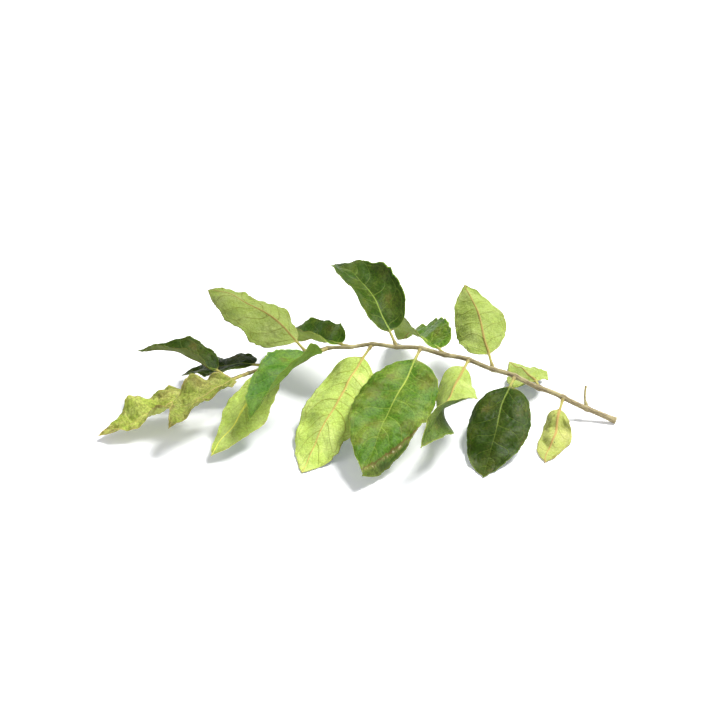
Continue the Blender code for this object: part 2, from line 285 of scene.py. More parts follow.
# %% The outline
WIDEST_AT = 0.42
BASE_FULLNESS = 0.62
TIP_FULLNESS = 0.95
OBLIQUE = 0.1
TIP_HALF_WIDTH = 0.2 * MM
TOOTH_LENGTH = 2.1 * MM
TOOTH_DEPTH = 0.3 * MM
SCALLOP_LENGTH = 8 * MM
SCALLOP_DEPTH = 0.55 * MM
FOOT_SWELLING = 0.5
FOOT_REACH = 1.1 * MM


def half_width(share, across, leaf):
    """From midrib to margin, before its teeth: share goes from base to tip, across from -1 to 1."""
    share = np.clip(share, 0.0, 1.0)
    fullness = BASE_FULLNESS - OBLIQUE * np.sign(across) * (leaf.side or LEFT)
    rise = (share / WIDEST_AT) ** fullness
    fall = ((1.0 - share) / (1.0 - WIDEST_AT)) ** TIP_FULLNESS
    half, at, depth, spread = leaf.notch
    bite = np.where(across * half > 0.0, depth, 0.0) * np.exp(-(((share - at) / spread) ** 2))
    return 0.5 * leaf.width * rise * fall * (1.0 - bite)


def stalk_half_width(from_joint):
    """A leaflet's own stalk swells into a foot where it leaves the rachis."""
    return STALK_HALF_WIDTH * (1.0 + FOOT_SWELLING * np.exp(-((from_joint / FOOT_REACH) ** 2)))


def uneven_wave(place, phase):
    """From 0 up and back once for each whole step of place, with steps of unequal length and height."""
    place = place + 0.3 * np.sin(2.3 * place + phase) + 0.25 * np.sin(0.9 * place + 2.0 * phase)
    return np.abs(np.sin(math.pi * place)) * (0.6 + 0.4 * np.sin(1.7 * place + 3.0 * phase))


def teeth(share, across, leaf):
    """How far the margin steps in: a little between its teeth, and more between its broad scallops."""
    length, phase = share * leaf.length, leaf.phase + 1.3 * np.sign(across)
    tooth = TOOTH_DEPTH * uneven_wave(length / TOOTH_LENGTH, phase) ** 2
    scallop = SCALLOP_DEPTH * uneven_wave(length / SCALLOP_LENGTH, 2.0 * phase)
    return (tooth + scallop) * np.clip(8.0 * share, 0.0, 1.0)


widest = max(float(half_width(np.float64(WIDEST_AT), 1.0, leaf)) for leaf in LEAFLETS)
print("from midrib to margin on the widest blade:", round(widest / MM, 1), "mm")


# %% [markdown]
# ## Where the side veins run
#
# Side veins leave the midrib at about 55 degrees, bend forward and meet in loops before the
# margin. The blade swells a little between them, and the finish draws them as fine lines. A rule
# for each could drift apart, so both use one, made of plain operators: given arrays it returns an
# array for the mesh, and given values of a shader it returns such a value.

# %% The vein layout
def sine(value):
    return value.sine() if hasattr(value, "sine") else np.sin(value)


def vein_count(share, across, leaf):
    """Counts the side veins from the base: a whole number on each one, and halves between."""
    out = abs(across)
    swerve = out * 0.17 + out**8 * 0.1
    slow = sine(share * 5.0 + out * 4.0 + leaf.phase) * 0.16
    quick = sine(share * 17.0 - out * 6.0 + leaf.phase) * 0.06
    return (share - swerve) * leaf.veins + (across > 0.0) * 0.5 + (slow + quick)


print("side veins on each half:", sorted({leaf.veins for leaf in LEAFLETS}))


# %% [markdown]
# ## Wrinkles
#
# Drying pulls the blade into shallow buckles. A noise texture could push the points about, but a
# sum of waves in many directions is as irregular, and its shortest and longest wave can be given
# in millimetres.

# %% Wrinkles from a sum of waves
def smooth(value, low, high):
    """Eases from 0 to 1 while value goes from low to high."""
    part = np.clip((value - low) / (high - low), 0.0, 1.0)
    return part * part * (3.0 - 2.0 * part)


WAVES_IN_RIPPLES = 26


def ripples(x, y, seed, shortest, longest):
    """Heights of about 1, up and down, with waves between the shortest and the longest length."""
    draw = np.random.default_rng(seed)
    total = np.zeros_like(x)
    for _ in range(WAVES_IN_RIPPLES):
        angle = draw.uniform(0.0, math.pi)
        turns = 2.0 * math.pi / draw.uniform(shortest, longest)
        shift = draw.uniform(0.0, 2.0 * math.pi)
        total += np.sin(turns * (x * math.cos(angle) + y * math.sin(angle)) + shift)
    return total / math.sqrt(0.5 * WAVES_IN_RIPPLES)


# %% [markdown]
# ## The blade in space
#
# Simple Deform modifiers could bend a flat leaf, but each one bends the whole of it one way. Here
# the midrib comes first: it bends up or down, sweeps sideways and may twist. From it each half of
# the blade leans up by the fold angle and curves on by the cup angle. Then come the margin's ripple,
# the large dents, and what the solid leaves out: a midrib that wanders a little, a fold eased round
# at the midrib, swellings between veins, wrinkles, a frilled edge, and on one leaflet a sharp
# crease across its tip.

# %% The midrib's line
MIDRIB_PLACES = 241


def midrib(leaf):
    """Places along the midrib, and the directions sideways and up at each."""
    shares = np.linspace(0.0, 1.0, MIDRIB_PLACES)
    tip = np.clip((shares - 0.7) / 0.3, 0.0, 1.0) ** 2
    yaw = np.radians(leaf.sweep) * shares
    pitch = np.radians(leaf.curl) * shares**1.2 + np.radians(leaf.tip_curl) * tip
    twist = (np.radians(leaf.twist) * smooth(shares, 0.0, 1.0))[:, None]
    level = np.stack([-np.sin(yaw), np.cos(yaw), np.zeros_like(yaw)], 1)
    forward = np.stack([np.cos(pitch) * np.cos(yaw), np.cos(pitch) * np.sin(yaw), np.sin(pitch)], 1)
    upright = np.cross(forward, level)
    steps = 0.5 * (forward[1:] + forward[:-1]) * leaf.length / (len(shares) - 1)
    places = np.vstack([np.zeros(3), np.cumsum(steps, 0)])
    sideways = level * np.cos(twist) + upright * np.sin(twist)
    upward = upright * np.cos(twist) - level * np.sin(twist)
    return shares, places, sideways, upward


# %% Fine relief of the blade
def relief(leaf, share, across, x, y):
    """The height of the fine forms, positive towards the upper side."""
    out = np.abs(across)
    on_blade = np.clip(8.0 * share, 0.0, 1.0) * np.clip(8.0 * (1.0 - share), 0.0, 1.0)
    between = np.abs(np.sin(math.pi * vein_count(share, across, leaf)))
    swelling = between * np.clip(5.0 * out, 0.0, 1.0) * (1.0 - out**6)
    buckles = ripples(x, y, leaf.seed, 8 * MM, 20 * MM)
    wrinkles = np.abs(ripples(x, y, leaf.seed + 1, 2.5 * MM, 7 * MM)) - 0.8
    frill = ripples(x, 0.3 * y, leaf.seed + 2, 3.5 * MM, 8 * MM) * out**4
    dry = leaf.dry
    height = (0.12 + 0.30 * dry) * MM * swelling + (0.3 + 0.25 * dry) * MM * buckles
    height = height - (0.05 + 0.22 * dry) * MM * wrinkles * np.clip(3.0 * out, 0.0, 1.0)
    height = height + (0.15 + 0.45 * dry) * MM * frill
    if leaf.crease:
        start, stop, slope = leaf.crease
        beyond = share - (start + (stop - start) * (1.0 - across))
        height = height - slope * np.maximum(beyond, 0.0) * leaf.length
    return height * on_blade


# %% Points of the blade's middle sheet
STALK_LENGTH = 5.0 * MM
WANDER = 0.55 * MM
FOLD_SOFTNESS = 0.5 * MM


def sheet_points(leaf, along, across):
    """Points of the sheet, and their places on the flat blade, in millimetres and in shares."""
    stalk = STALK_LENGTH / leaf.length
    share = (along - stalk) / (1.0 - stalk)
    least = np.where(share > 0.5, TIP_HALF_WIDTH, stalk_half_width(along * leaf.length))
    reach = np.maximum(half_width(share, across, leaf), least)
    trimmed = np.maximum(reach - teeth(share, across, leaf) * np.clip(share * 9.0, 0.0, 1.0), least)
    span = np.abs(across) * trimmed
    outward = span / (0.5 * leaf.width)

    on_left = across > 0.0
    opened = smooth(share, -0.02, 0.12) * (1.0 - 0.8 * smooth(share, 0.92, 1.0))
    fold = np.radians(np.where(on_left, *leaf.fold)) * opened
    turn = np.radians(np.where(on_left, *leaf.cup)) * outward
    chord = span * np.sinc(0.5 * turn / math.pi)
    lateral = np.sign(across) * chord * np.cos(fold + 0.5 * turn)
    height = (np.hypot(chord, FOLD_SOFTNESS) - FOLD_SOFTNESS) * np.sin(fold + 0.5 * turn)

    beat = 2.0 * math.pi * (leaf.waves * along + leaf.phase) + 1.9 * on_left
    height = height + leaf.wave * outward**2 * np.sin(beat)
    dents = np.sin(9.0 * along + 1.7 * across + 6.0 * leaf.phase)
    dents = dents * np.sin(6.5 * along - 2.6 * across + 11.0 * leaf.phase)
    dents = leaf.crinkle * dents * np.clip(5.0 * share, 0.0, 1.0)
    height = height + dents * np.clip(6.0 * (1.0 - share), 0.0, 1.0)
    lateral = lateral + WANDER * np.sin(7.5 * share + 2.0 * leaf.phase) * smooth(share, 0.0, 0.35)
    x, y = share * (leaf.length - STALK_LENGTH), np.sign(across) * span
    height = height + relief(leaf, np.clip(share, 0.0, 1.0), across, x, y)

    shares, places, sideways, upward = midrib(leaf)
    at, side, up = (
        np.stack([np.interp(along, shares, values[:, axis]) for axis in range(3)], -1)
        for values in (places, sideways, upward)
    )
    at[..., 0] += np.minimum(along, 0.0) * leaf.length
    points = at + side * lateral[..., None] + up * height[..., None]
    edge = (1.0 - np.abs(across)) * trimmed
    flat_places = np.stack([x, y, edge], -1) / MM
    flat_shares = np.stack([share, across, np.zeros_like(share)], -1)
    return points, flat_places, flat_shares


# %% [markdown]
# ## Thickness, midrib and the surface below
#
# A leaflet's stalk is round. In the blade it sinks into the upper side as a groove and stays proud
# underneath as the midrib, which thins towards the tip. Solidify would make the two sides alike,
# so each gets a height of its own above the sheet. Whatever would sink into the surface that the
# sprig lies on is eased out level on it, as a limp leaf lies.

# %% Heights of the two sides
BLADE_THICKNESS = 0.26 * MM
RIB_HEIGHT = 0.35 * MM
RIB_HALF_WIDTH = 0.55 * MM
GROOVE_DEPTH = 0.1 * MM


def side_heights(share, across, y, stalk):
    """How far the upper side and the underside stand off the middle sheet, both as plus."""
    round_part = stalk * np.sqrt(np.clip(1.0 - (y / stalk) ** 2, 0.0, 1.0))
    taper = 1.0 - 0.8 * np.clip(share, 0.0, 1.0)
    width = RIB_HALF_WIDTH * taper
    rib = RIB_HEIGHT * taper * np.clip(1.0 - (y / width) ** 2, 0.0, 1.0) ** 1.5
    groove = GROOVE_DEPTH * taper * np.exp(-((y / (0.6 * width)) ** 2))
    edge = 0.5 * BLADE_THICKNESS * np.sqrt(1.0 - np.abs(across) ** 24)
    edge = edge * (1.0 - 0.5 * smooth(share, 0.9, 1.0))
    on_blade = smooth(share, 0.0, 0.07)
    upper = round_part * (1.0 - on_blade) + (edge - groove) * on_blade
    under = round_part * (1.0 - on_blade) + (edge + rib) * on_blade
    at_margin = np.abs(across) > 0.9999
    return np.where(at_margin, 0.0, upper), np.where(at_margin, 0.0, np.maximum(under, edge))


# %% Laying a sheet out on the surface
FLOOR_CLEARANCE = 0.55 * MM
FLOOR_SOFTNESS = 1.5 * MM
LOWEST = 0.04 * MM


def settled(heights):
    """Leaves what is well above the surface where it is, and lays out level what would sink in."""
    over = heights - FLOOR_CLEARANCE
    eased = (over + FLOOR_SOFTNESS) ** 2 / (4.0 * FLOOR_SOFTNESS)
    lying = np.where(over < -FLOOR_SOFTNESS, 0.0, eased)
    return FLOOR_CLEARANCE + np.where(over > FLOOR_SOFTNESS, over, lying)


for height in (-3.0, 1.0, 5.0):
    print("a point at", height, "mm comes to lie at", round(float(settled(height * MM)) / MM, 2), "mm")


# %% A leaflet as rings
ROW_STEP = 0.37 * MM
HALF_COLUMNS = 36
COLUMN_CROWDING = 1.3
REACH_INSIDE = 0.8


def unit(vectors):
    return vectors / np.linalg.norm(vectors, axis=-1, keepdims=True)


def around(upper, under):
    """From margin to margin over the upper side, and back underneath, each margin once."""
    return np.concatenate([upper[:, ::-1], under[:, 1:-1]], 1)


def leaflet_rings(leaf):
    """The rings, notes and finishes of a leaflet. Its first rings reach into the rachis."""
    start, turn, distance = joint(leaf)
    even = np.linspace(-1.0, 1.0, 2 * HALF_COLUMNS + 1)
    columns = np.sign(even) * np.abs(even) ** COLUMN_CROWDING
    inside = -REACH_INSIDE * distance / leaf.length
    along = np.linspace(inside, 1.0, round(leaf.length / ROW_STEP))
    along, across = np.meshgrid(along, columns, indexing="ij")
    points, flat_places, flat_shares = sheet_points(leaf, along, across)
    points = points @ np.array(turn.to_matrix()).T + np.array(start)
    points[..., 2] = settled(points[..., 2])
    normals = unit(np.cross(np.gradient(points, axis=0), np.gradient(points, axis=1)))
    stalk = stalk_half_width(along * leaf.length)
    upper, under = side_heights(flat_shares[..., 0], across, flat_places[..., 1] * MM, stalk)
    rings = around(points + normals * upper[..., None], points - normals * under[..., None])
    rings[..., 2] = np.maximum(rings[..., 2], LOWEST)
    places, shares = around(flat_places, flat_places), around(flat_shares, flat_shares)
    sides = np.repeat([0, 1], 2 * HALF_COLUMNS)
    return rings, {"leaf_place": places, "leaf_share": shares}, sides


# %% [markdown]
# ## A small language for finishes
#
# A material is a graph of nodes, and a graph written out node by node is hard to read. The class
# below wraps one socket, and Python's operators on it add Math nodes, so a finish reads as sums.
# Whatever is not arithmetic goes through one method that makes a node and feeds its sockets.

# %% A socket that does arithmetic
class Value:
    def __init__(self, graph, socket):
        self.graph, self.socket = graph, socket

    def math(self, operation, *others):
        inputs = dict(enumerate((self, *others)))
        return self.graph.node("ShaderNodeMath", dict(operation=operation), inputs)

    def __add__(self, other):
        return self.math("ADD", other)

    def __mul__(self, other):
        return self.math("MULTIPLY", other)

    def __sub__(self, other):
        return self.math("SUBTRACT", other)

    def __rsub__(self, other):
        return self.math("MULTIPLY", -1.0).math("ADD", other)

    def __truediv__(self, other):
        return self.math("DIVIDE", other)

    def __pow__(self, other):
        return self.math("POWER", other)

    def __mod__(self, other):
        return self.math("FLOORED_MODULO", other)

    def __gt__(self, other):
        return self.math("GREATER_THAN", other)

    def __abs__(self):
        return self.math("ABSOLUTE")

    __radd__, __rmul__ = __add__, __mul__

    def sine(self):
        return self.math("SINE")

    def smooth(self, low, high, start=0.0, stop=1.0):
        """Eases from start to stop while this value goes from low to high."""
        inputs = {"Value": self, "From Min": low, "From Max": high, "To Min": start, "To Max": stop}
        return self.graph.node("ShaderNodeMapRange", dict(interpolation_type="SMOOTHSTEP"), inputs)


# %% The graph of a material or a world
class Graph:
    def __init__(self, owner):
        owner.use_nodes = True
        self.owner, self.nodes, self.links = owner, owner.node_tree.nodes, owner.node_tree.links

    def node(self, kind, settings, inputs, output=0):
        """Makes a node, sets it up, and feeds its sockets with numbers, colours or values."""
        made = self.nodes.new(kind)
        for name, value in settings.items():
            setattr(made, name, value)
        for name, value in inputs.items():
            self.feed(made.inputs[name], value)
        return Value(self, made.outputs[output])

    def feed(self, socket, value):
        if isinstance(value, Value):
            self.links.new(value.socket, socket)
        else:
            socket.default_value = (*value, 1.0) if socket.type == "RGBA" else value


# %% A finish
class Finish(Graph):
    def __init__(self, name):
        super().__init__(bpy.data.materials.new(name))

    def surface(self, **sockets):
        """Feeds the sockets of the material's own shader, by name, with _ for a space."""
        for name, value in sockets.items():
            self.feed(self.nodes["Principled BSDF"].inputs[name.replace("_", " ")], value)
        return self.owner

    def bump(self, height):
        """The normals that a height in millimetres gives."""
        return self.node("ShaderNodeBump", {}, {"Height": height, "Distance": MM, "Strength": 1.0})

    def note(self, name):
        """The three numbers that the mesh holds under that name, as a vector and one by one."""
        vector = self.node("ShaderNodeAttribute", dict(attribute_name=name), {}, "Vector")
        parts = [self.node("ShaderNodeSeparateXYZ", {}, {0: vector}, axis) for axis in range(3)]
        return vector, *parts

    def vector(self, operation, inputs, output="Vector"):
        return self.node("ShaderNodeVectorMath", dict(operation=operation), inputs, output)

    def mix(self, amount, first, second):
        settings = dict(data_type="RGBA", clamp_factor=True)
        return self.node("ShaderNodeMix", settings, {0: amount, 6: first, 7: second}, 2)

    def layers(self, colour, *over):
        """Lays colours over one another, each through a mask of its own."""
        for mask, tint in over:
            colour = self.mix(mask, colour, tint)
        return colour

    def noise(self, place, scale, detail=3.0, roughness=0.55, stretch=None):
        if stretch:
            place = self.vector("MULTIPLY", {0: place, 1: stretch})
        inputs = {"Vector": place, "Scale": scale, "Detail": detail, "Roughness": roughness}
        return self.node("ShaderNodeTexNoise", dict(noise_dimensions="2D"), inputs)

    def bent(self, place, scale, amount):
        """The same places pushed about by up to that many millimetres, so that lines there waver."""
        inputs = {"Vector": place, "Scale": scale}
        push = self.node("ShaderNodeTexNoise", dict(noise_dimensions="2D"), inputs, "Color")
        return self.vector("MULTIPLY_ADD", {0: push, 1: (amount, amount, 0.0), 2: place})

    def shade(self, colour, amount):
        return self.vector("SCALE", {0: colour, "Scale": amount})

    def cells(self, place, scale, feature, output="Distance"):
        settings = dict(voronoi_dimensions="2D", feature=feature)
        return self.node("ShaderNodeTexVoronoi", settings, {"Vector": place, "Scale": scale}, output)


# %% [markdown]
# ## The colours
#
# Leaves are less green than they look: the dark ones reflect half as much red as green, the yellow
# ones nearly as much. Every group has a colour for its upper side and a lighter one to drift to, the
# same pair for its underside, a pale one for the upper side's midrib and margin, and a pale one laid
# in patches on the upper side, partly wax and partly a painted sheen. The midrib underneath is the
# underside's colour, tinted by `rib`.

# %% Colours by group
COLOURS = {
    "leaf_dark": dict(
        upper=(0.028, 0.06, 0.004), upper_drift=(0.07, 0.1, 0.012), upper_rib=(0.2, 0.27, 0.045),
        under=(0.17, 0.23, 0.045), under_drift=(0.22, 0.26, 0.06), bloom_and_sheen=(0.1, 0.15, 0.05),
    ),
    "leaf_green": dict(
        upper=(0.073, 0.16, 0.011), upper_drift=(0.165, 0.235, 0.032), upper_rib=(0.34, 0.42, 0.07),
        under=(0.23, 0.31, 0.06), under_drift=(0.28, 0.34, 0.07), bloom_and_sheen=(0.2, 0.32, 0.11),
    ),
    "leaf_pale": dict(
        upper=(0.075, 0.125, 0.018), upper_drift=(0.12, 0.17, 0.03), upper_rib=(0.3, 0.36, 0.07),
        under=(0.34, 0.44, 0.093), under_drift=(0.41, 0.49, 0.148), bloom_and_sheen=(0.2, 0.3, 0.1),
    ),
    "leaf_yellow": dict(
        upper=(0.28, 0.34, 0.055), upper_drift=(0.38, 0.38, 0.1), upper_rib=(0.5, 0.43, 0.14),
        under=(0.42, 0.48, 0.12), under_drift=(0.5, 0.5, 0.18), bloom_and_sheen=(0.5, 0.52, 0.2),
    ),
}
BROWN, STAIN, SPOT = (0.15, 0.085, 0.03), (0.115, 0.085, 0.018), (0.02, 0.012, 0.01)
STALK_TAN, STALK_STRAW, FOOT_BROWN = (0.33, 0.28, 0.095), (0.4, 0.38, 0.1), (0.27, 0.22, 0.09)
ROUGHNESS_ABOVE = dict(leaf_dark=0.36, leaf_green=0.4, leaf_pale=0.45, leaf_yellow=0.55)
print("groups:", ", ".join(COLOURS))


# %% [markdown]
# ## The blade's finish
#
# Seen close, a leaf is a net. The side veins are lines, and between them smaller veins close off
# cells of about 3 mm and, inside these, of under 1 mm. A Voronoi texture's distance to the nearest
# edge is such a net. An image of a real leaf would be richer still, but it would fit only one
# outline. On the underside the net stands a little proud and is darker than the tissue. On the
# upper side it is pressed in, and the midrib, the side veins and the margin show pale.

# %% Lines that both sides share
def blade_lines(finish, leaf):
    """Masks for the midrib, the side veins and the net, with the places they were made from."""
    place, x, y, edge = finish.note("leaf_place")
    _, share, across, _ = finish.note("leaf_share")
    out = abs(across)
    count = vein_count(share, across, leaf)
    spacing = 0.8 * leaf.length / MM / leaf.veins
    part = count % 1.0
    thin = out.smooth(0.0, 0.8, 1.2, 0.7)
    to_vein = (0.5 - abs(part - 0.5)) * spacing
    veins = (to_vein / thin).smooth(0.09, 0.28, 1.0, 0.0) * out.smooth(0.76, 0.88, 1.0, 0.2)
    to_loop = abs(out - 0.86 + (part - 0.5) ** 2.0 * 0.3) * (0.42 * leaf.width / MM)
    loops = to_loop.smooth(0.05, 0.28, 0.7, 0.0)
    between = abs(part - 0.5) * spacing
    minor = between.smooth(0.05, 0.22, 0.5, 0.0) * out.smooth(0.15, 0.55, 1.0, 0.0)
    veins = veins.math("MAXIMUM", loops).math("MAXIMUM", minor) * share.smooth(0.0, 0.08)
    bent = finish.bent(place, 0.3, 2.4)
    wide_net = finish.cells(bent, 0.36, "DISTANCE_TO_EDGE").smooth(0.01, 0.08, 1.0, 0.0)
    fine_net = finish.cells(bent, 1.5, "DISTANCE_TO_EDGE").smooth(0.0, 0.22, 1.0, 0.0)
    strength = finish.noise(place, 0.2, 2.0).smooth(0.35, 0.65, 0.45, 1.0)
    net = wide_net.math("MAXIMUM", fine_net * 0.45) * strength
    rib = abs(y) / share.smooth(0.0, 1.0, 0.42, 0.14)
    return Record(place=place, x=x, y=y, edge=edge, share=share, veins=veins, rib=rib, net=net)


def toned(leaf):
    """The colours of the leaflet's group, scaled by its own colour factor, which on a few shaded leaflets
    also paints light over their shade.
    """
    group = COLOURS[leaf.slot].items()
    return {name: np.multiply(leaf.tone, colour).tolist() for name, colour in group}


def dimmed(colour, *parts):
    return [channel * part for channel, part in zip(colour, parts)]


def drying(finish, leaf, lines):
    """Where the blade has browned: in patches at its margin and at its tip."""
    patches = finish.noise(lines.place, 0.16, 4.0, 0.65)
    near_edge = lines.edge.smooth(0.0, 3.2, 1.0, 0.0) + lines.share.smooth(0.86, 1.0, 0.0, 0.8)
    amount = 0.35 + 0.5 * leaf.dry
    return (patches + near_edge * 0.22).smooth(0.78 - 0.16 * leaf.dry, 1.0) * amount


# %% Spots, stains and the stalk's own colour
def away_from(lines, x, y):
    """The distance on the flat blade from a place on it, in millimetres."""
    return ((lines.x - x) ** 2.0 + (lines.y - y) ** 2.0) ** 0.5


def spots(finish, leaf, lines):
    """Sparse dark specks, and the larger spots that a leaflet names by place and radius."""
    random = finish.cells(lines.place, 0.33, "F1", "Color")
    chance = finish.node("ShaderNodeSeparateXYZ", {}, {0: random}, 0)
    speck = finish.cells(lines.place, 0.33, "F1").smooth(0.03, 0.1, 0.8, 0.0) * (chance > 0.95)
    for x, y, radius in leaf.spots:
        named = away_from(lines, x, y).smooth(0.7 * radius, 1.2 * radius, 1.0, 0.0)
        speck = speck.math("MAXIMUM", named)
    return speck


def stains(finish, leaf, lines):
    """Soft bruises, ragged at their rims: a few by chance, and those that a leaflet names."""
    ragged = finish.noise(lines.place, 0.5, 5.0, 0.8)
    stain = finish.noise(lines.place, 0.09, 3.0).smooth(0.6, 0.72)
    for x, y, radius in leaf.stains:
        stain = stain.math("MAXIMUM", away_from(lines, x, y).smooth(0.0, 1.7 * radius, 0.9, 0.0))
    return (stain + ragged * 2.4 - 1.2).smooth(0.15, 0.85)


def stalk_colour(finish, lines):
    """Tan with straw-coloured streaks, and browner at its foot."""
    streaks = finish.noise(lines.place, 1.0, 3.0, stretch=(0.6, 3.0, 1.0))
    colour = finish.mix(streaks.smooth(0.3, 0.7), STALK_TAN, STALK_STRAW)
    from_joint = lines.x + STALK_LENGTH / MM
    return finish.mix(from_joint.smooth(0.2, 2.2, 0.8, 0.0), colour, FOOT_BROWN)


# %% Underside
LIGHT_REACH = 0.8 * MM


def underside(leaf):
    """Dull and pale, with dark veins and a tinted midrib. A little light spreads inside the blade."""
    finish = Finish(leaf.name + "_underside")
    colours = toned(leaf)
    lines = blade_lines(finish, leaf)
    place, under = lines.place, colours["under"]
    drift = finish.noise(place, 0.11, 4.0, 0.6).smooth(0.35, 0.68)
    # Painted shade: darker patches laid at random, which stand for the shade in the blade's hollows.
    painted_hollow_shade = finish.noise(place, 0.22, 3.0, 0.6).smooth(0.45, 0.75, 0.0, 0.55)
    body = finish.layers(under, (drift, colours["under_drift"]), (painted_hollow_shade, dimmed(under, 0.7, 0.78, 0.62)))
    grain = finish.noise(place, 1.3, 4.0, 0.75)
    body = finish.shade(body, grain.smooth(0.28, 0.72, 0.84, 1.13))
    rib_colour = dimmed(under, *leaf.rib)
    colour = finish.layers(
        body,
        (lines.net * 0.55, dimmed(under, 0.7, 0.62, 0.5)),
        (lines.veins * leaf.veined, dimmed(under, 0.62, 0.5, 0.42)),
        (drying(finish, leaf, lines), BROWN),
        (lines.rib.smooth(0.8, 1.5, 0.95, 0.0), rib_colour),
        (lines.edge.smooth(0.05, 0.35, 0.6, 0.0), dimmed(rib_colour, 0.8, 0.8, 0.8)),
        (spots(finish, leaf, lines), SPOT),
        (lines.share.smooth(-0.02, 0.03, 1.0, 0.0), stalk_colour(finish, lines)),
    )
    areoles = finish.cells(place, 1.3, "F1")
    height = lines.veins * 0.09 + lines.net * 0.05 + grain * 0.08 - areoles * 0.08
    return finish.surface(
        Base_Color=colour, Roughness=0.62 + grain * 0.15 - lines.veins * 0.08, Normal=finish.bump(height),
        Subsurface_Weight=0.2, Subsurface_Radius=(0.8, 1.0, 0.3), Subsurface_Scale=LIGHT_REACH,
        Specular_IOR_Level=0.1,
    )


# %% Marks of one leaflet only
CREASE_TAN, CREASE_RED, CREASE_FLECK = (0.24, 0.19, 0.07), (0.12, 0.055, 0.02), (0.5, 0.42, 0.28)
RUBBED_STRAW, RUBBED_BLACK, PAINTED_TIP_SHADE = (0.42, 0.36, 0.14), (0.04, 0.03, 0.012), (0.0, 0.0, 0.0)


def creased(finish, leaf, lines):
    """A sharp fold has broken the skin: a red-brown line, a tan band and pale flecks. Painted shade
    darkens the bent tip beyond it.
    """
    start, stop, _ = leaf.crease
    across = lines.y / (0.42 * leaf.width / MM)
    ragged = finish.noise(lines.place, 0.5, 5.0, 0.75) - 0.5
    beyond = (lines.share - (stop - across * (stop - start))) * (leaf.length / MM) + ragged * 3.5
    broken = finish.noise(lines.place, 0.9, 4.0, 0.7)
    band = abs(beyond - 0.5)
    return (
        # Painted shade: the tip bent down beyond the crease is darkened in colour.
        (beyond.smooth(-0.5, 3.0, 0.0, 0.45), PAINTED_TIP_SHADE),
        (band.smooth(0.2, 1.6, 0.6, 0.0) * broken.smooth(0.3, 0.6), CREASE_TAN),
        (abs(beyond + 0.5).smooth(0.1, 0.8, 0.7, 0.0), CREASE_RED),
        ((broken - band * 0.13).smooth(0.56, 0.66, 0.0, 0.8), CREASE_FLECK),
    )


def worn(finish, leaf, lines):
    """Straw-coloured and black flecks where the blade has rubbed, close to its stalk."""
    reach = leaf.worn
    near = away_from(lines, 0.3 * reach, 0.0).smooth(0.1 * reach, 0.65 * reach, 1.0, 0.0)
    flecks = finish.noise(lines.place, 0.9, 5.0, 0.75, stretch=(0.8, 1.3, 1.0))
    return (
        ((flecks + near * 0.14).smooth(0.72, 0.8, 0.0, 0.8), RUBBED_STRAW),
        ((flecks - near * 0.1).smooth(0.24, 0.31, 1.0, 0.0) * near, RUBBED_BLACK),
    )


# %% Upper side
def upper_side(leaf):
    """Satin and deep green, with pale lines, pale patches of wax that also paint a sheen, and bruises."""
    finish = Finish(leaf.name + "_upper_side")
    colours = toned(leaf)
    lines = blade_lines(finish, leaf)
    place, upper, pale = lines.place, colours["upper"], colours["upper_rib"]
    drift = finish.noise(place, 0.1, 2.5, 0.5).smooth(0.38, 0.7)
    grain = finish.noise(place, 1.2, 4.0, 0.75)
    body = finish.mix(drift, upper, colours["upper_drift"])
    body = finish.shade(body, grain.smooth(0.3, 0.7, 0.66, 1.31))
    # Pale patches: partly wax, which also roughens the surface, and partly a painted sheen in the colour.
    wax_and_sheen = finish.noise(place, 0.16, 2.5, 0.5).smooth(0.5, 0.7) * grain.smooth(0.35, 0.65, 0.4, 1.0)
    fade = lines.share.smooth(0.25, 0.75, 1.0, 0.25)
    colour = finish.layers(
        body,
        (lines.net * 0.2, dimmed(upper, 0.6, 0.6, 0.6)),
        (lines.veins * 0.3, pale),
        # Painted sheen, with wax, over these patches.
        (wax_and_sheen * 0.3, colours["bloom_and_sheen"]),
        (stains(finish, leaf, lines) * 0.36, STAIN),
        (drying(finish, leaf, lines), BROWN),
        (lines.rib.smooth(0.45, 1.0, 1.0, 0.0) * fade, pale),
        (lines.edge.smooth(0.12, 0.5, 0.8, 0.0), pale),
        *(creased(finish, leaf, lines) if leaf.crease else ()),
        *(worn(finish, leaf, lines) if leaf.worn else ()),
        (spots(finish, leaf, lines), SPOT),
        (lines.share.smooth(-0.02, 0.03, 1.0, 0.0), stalk_colour(finish, lines)),
    )
    areoles = finish.cells(place, 1.1, "F1")
    rough = ROUGHNESS_ABOVE[leaf.slot] + wax_and_sheen * 0.16 + grain * 0.1
    height = grain * 0.1 - lines.net * 0.03 - lines.veins * 0.08 - areoles * 0.06
    return finish.surface(
        Base_Color=colour, Roughness=rough, Normal=finish.bump(height), Subsurface_Weight=0.15,
        Subsurface_Radius=(0.5, 1.0, 0.2), Subsurface_Scale=LIGHT_REACH, Specular_IOR_Level=leaf.shine,
    )


# %% [markdown]
# ## The leaf stalk
#
# The rachis is a tapering rod with fine ridges. It swells at each node, where a leaflet's own stalk
# grows out of it, and is cut across at its thick end, which shows a pale ring around the pith. A
# beveled curve would have no ridges and one plain face at its cut, so it is skinned from rings too.
# The first few lie flat in the cut and widen to the rim.

# %% Rings around a line
RIDGE_SWAY = 25.0


